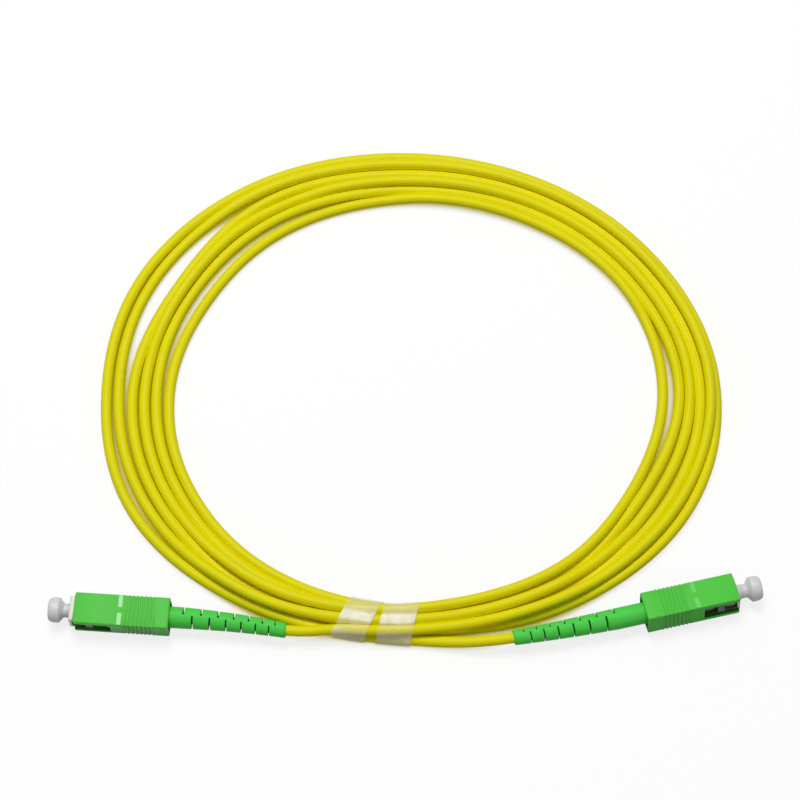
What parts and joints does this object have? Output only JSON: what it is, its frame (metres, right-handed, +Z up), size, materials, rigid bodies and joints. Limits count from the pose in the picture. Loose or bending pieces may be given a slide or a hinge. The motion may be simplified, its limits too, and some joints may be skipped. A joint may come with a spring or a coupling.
{
  "type": "fibre optic patch cord",
  "caption": "Coiled single-fibre patch cord with a square push-pull plug, slotted bend boot and dust cap on each end, held by clear tape.",
  "frame": {"origin": "on the table, midway between the two plugs, at the level of the lowest key", "axes": "+X from plug A to plug B, +Y from the tied side across the coil, +Z up"},
  "size_m": [0.1987, 0.1561, 0.0093],
  "materials": {
    "housing_plastic": "glossy moulded green plastic",
    "frame_plastic": "ivory moulded plastic",
    "cap_plastic": "milky half-clear polyethylene",
    "boot_rubber": "satin green elastomer",
    "cable_jacket": "smooth satin yellow jacket",
    "clear_tape": "clear glossy packing tape",
    "zirconia": "polished white zirconia ceramic",
    "plated_metal": "nickel plated brass",
    "spring_steel": "bright spring wire",
    "aramid_fibre": "pale gold aramid yarn",
    "fibre_buffer": "white tight buffer"
  },
  "bodies": {
    "cord": {"plug_frame_a": "frame_plastic", "ferrule_spring_a": "spring_steel", "crimp_body_a": "plated_metal", "aramid_yarn_a": "aramid_fibre", "crimp_sleeve_a": "plated_metal", "buffered_fibre_a": "fibre_buffer", "boot_a": "boot_rubber", "cable_tail_a": "cable_jacket", "cable_coil": "cable_jacket", "tape_band": "clear_tape", "cable_tail_b": "cable_jacket", "plug_frame_b": "frame_plastic", "ferrule_spring_b": "spring_steel", "crimp_body_b": "plated_metal", "aramid_yarn_b": "aramid_fibre", "crimp_sleeve_b": "plated_metal", "buffered_fibre_b": "fibre_buffer", "boot_b": "boot_rubber"},
    "housing_a": {"outer_housing_a": "housing_plastic"},
    "housing_b": {"outer_housing_b": "housing_plastic"},
    "ferrule_a": {"ferrule_a": "zirconia", "ferrule_flange_a": "plated_metal"},
    "ferrule_b": {"ferrule_b": "zirconia", "ferrule_flange_b": "plated_metal"},
    "cap_a": {"dust_cap_a": "cap_plastic"},
    "cap_b": {"dust_cap_b": "cap_plastic"}
  },
  "joints": [
    {"name": "housing_a_slide", "type": "slide", "parent": "cord", "child": "housing_a", "axis": [-0.9978, 0.0663, 0], "range_m": [-0.0014, 0.0011]},
    {"name": "housing_b_slide", "type": "slide", "parent": "cord", "child": "housing_b", "axis": [0.9748, 0.2233, 0], "range_m": [-0.0025, 0]},
    {"name": "ferrule_a_float", "type": "slide", "parent": "cord", "child": "ferrule_a", "axis": [0.9978, -0.0663, 0], "range_m": [0, 0.0009], "stiffness_N_per_m": 200, "deforming": ["ferrule_spring_a"]},
    {"name": "ferrule_b_float", "type": "slide", "parent": "cord", "child": "ferrule_b", "axis": [-0.9748, -0.2233, 0], "range_m": [0, 0.0009], "stiffness_N_per_m": 200, "deforming": ["ferrule_spring_b"]},
    {"name": "cap_a_pull", "type": "slide", "parent": "ferrule_a", "child": "cap_a", "axis": [-0.9978, 0.0663, 0], "range_m": [0, 0.012]},
    {"name": "cap_b_pull", "type": "slide", "parent": "ferrule_b", "child": "cap_b", "axis": [0.9748, 0.2233, 0], "range_m": [-0.0009, 0.0111]}
  ]
}
